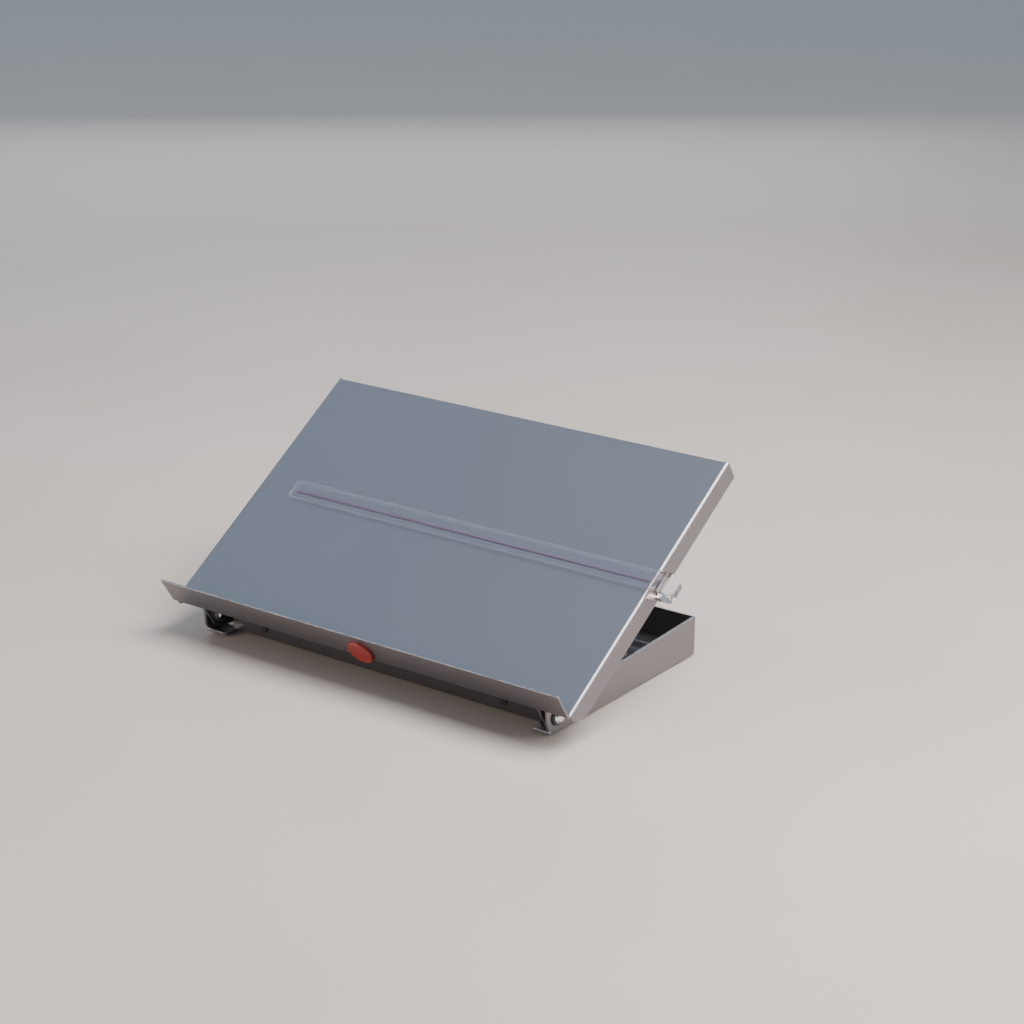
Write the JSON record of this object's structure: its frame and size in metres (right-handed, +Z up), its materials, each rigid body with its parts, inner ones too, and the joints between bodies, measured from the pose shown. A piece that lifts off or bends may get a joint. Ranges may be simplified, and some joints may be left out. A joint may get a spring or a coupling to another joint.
{
  "type": "document holder",
  "caption": "Tilting sheet-steel document holder: lipped board hinged on a low pan, wire prop on rails, sliding line guide and a shallow drawer under the lip.",
  "frame": {"origin": "on the desk surface, under the middle of the long rubber strip at the back of the pan", "axes": "+X to the reader's right along the lip, +Y away from the reader, +Z up"},
  "size_m": [0.3994, 0.2303, 0.1628],
  "materials": {
    "painted_steel": "silver-grey powder coat, satin, fine grain",
    "dark_painted_steel": "dark grey powder coat, satin",
    "rubber": "matt black rubber",
    "zinc_plate": "zinc-plated sheet, dull",
    "zinc_wire": "bright zinc-plated rod",
    "steel": "plain steel, satin",
    "nylon": "black nylon, matt",
    "drawer_plastic": "dark grey ABS, fine texture",
    "red_plastic": "deep red plastic, semi-gloss",
    "tinted_acrylic": "smoke-blue translucent acrylic",
    "clear_acrylic": "clear acrylic, faceted",
    "magnet": "nickel-plated"
  },
  "bodies": {
    "base": {"base_pan": "painted_steel", "rubber_feet": "rubber", "drawer_rail_left": "zinc_plate", "drawer_rail_right": "zinc_plate", "shoe_rail_left": "zinc_plate", "shoe_rail_right": "zinc_plate", "rail_rivets": "steel", "hinge_pin_left": "steel", "hinge_pin_right": "steel", "hinge_washers": "nylon", "hinge_rings": "steel"},
    "board": {"reading_board": "painted_steel", "hinge_ear_left": "painted_steel", "hinge_ear_right": "painted_steel", "lip_button": "red_plastic", "button_rivet": "steel", "prop_bracket_left": "nylon", "prop_bracket_right": "nylon", "bracket_studs": "steel", "bracket_nuts": "steel"},
    "prop": {"prop_bail": "zinc_wire", "prop_shoes": "nylon"},
    "guide": {"guide_strip": "tinted_acrylic", "guide_slider": "clear_acrylic", "slider_magnet": "magnet"},
    "drawer": {"drawer_tray": "drawer_plastic", "drawer_front": "dark_painted_steel", "front_rivets": "steel", "drawer_glide_left": "nylon", "drawer_glide_right": "nylon"}
  },
  "joints": [
    {"name": "board_tilt", "type": "hinge", "parent": "base", "child": "board", "pos_m": [0, -0.1549, 0.0145], "axis": [1, 0, 0], "range_deg": [-33.4, 0]},
    {"name": "prop_fold", "type": "hinge", "parent": "board", "child": "prop", "pos_m": [0, -0.0876, 0.07375], "axis": [1, 0, 0], "range_deg": [0, 66.8]},
    {"name": "guide_slide", "type": "slide", "parent": "board", "child": "guide", "axis": [0, 0.8348, 0.5505], "range_m": [-0.105, 0.108]},
    {"name": "drawer_slide", "type": "slide", "parent": "base", "child": "drawer", "axis": [0, -1, 0], "range_m": [0, 0.0796]}
  ],
  "couplings": [
    {"joint": "prop_fold", "follows": "board_tilt", "ratio": -2}
  ]
}
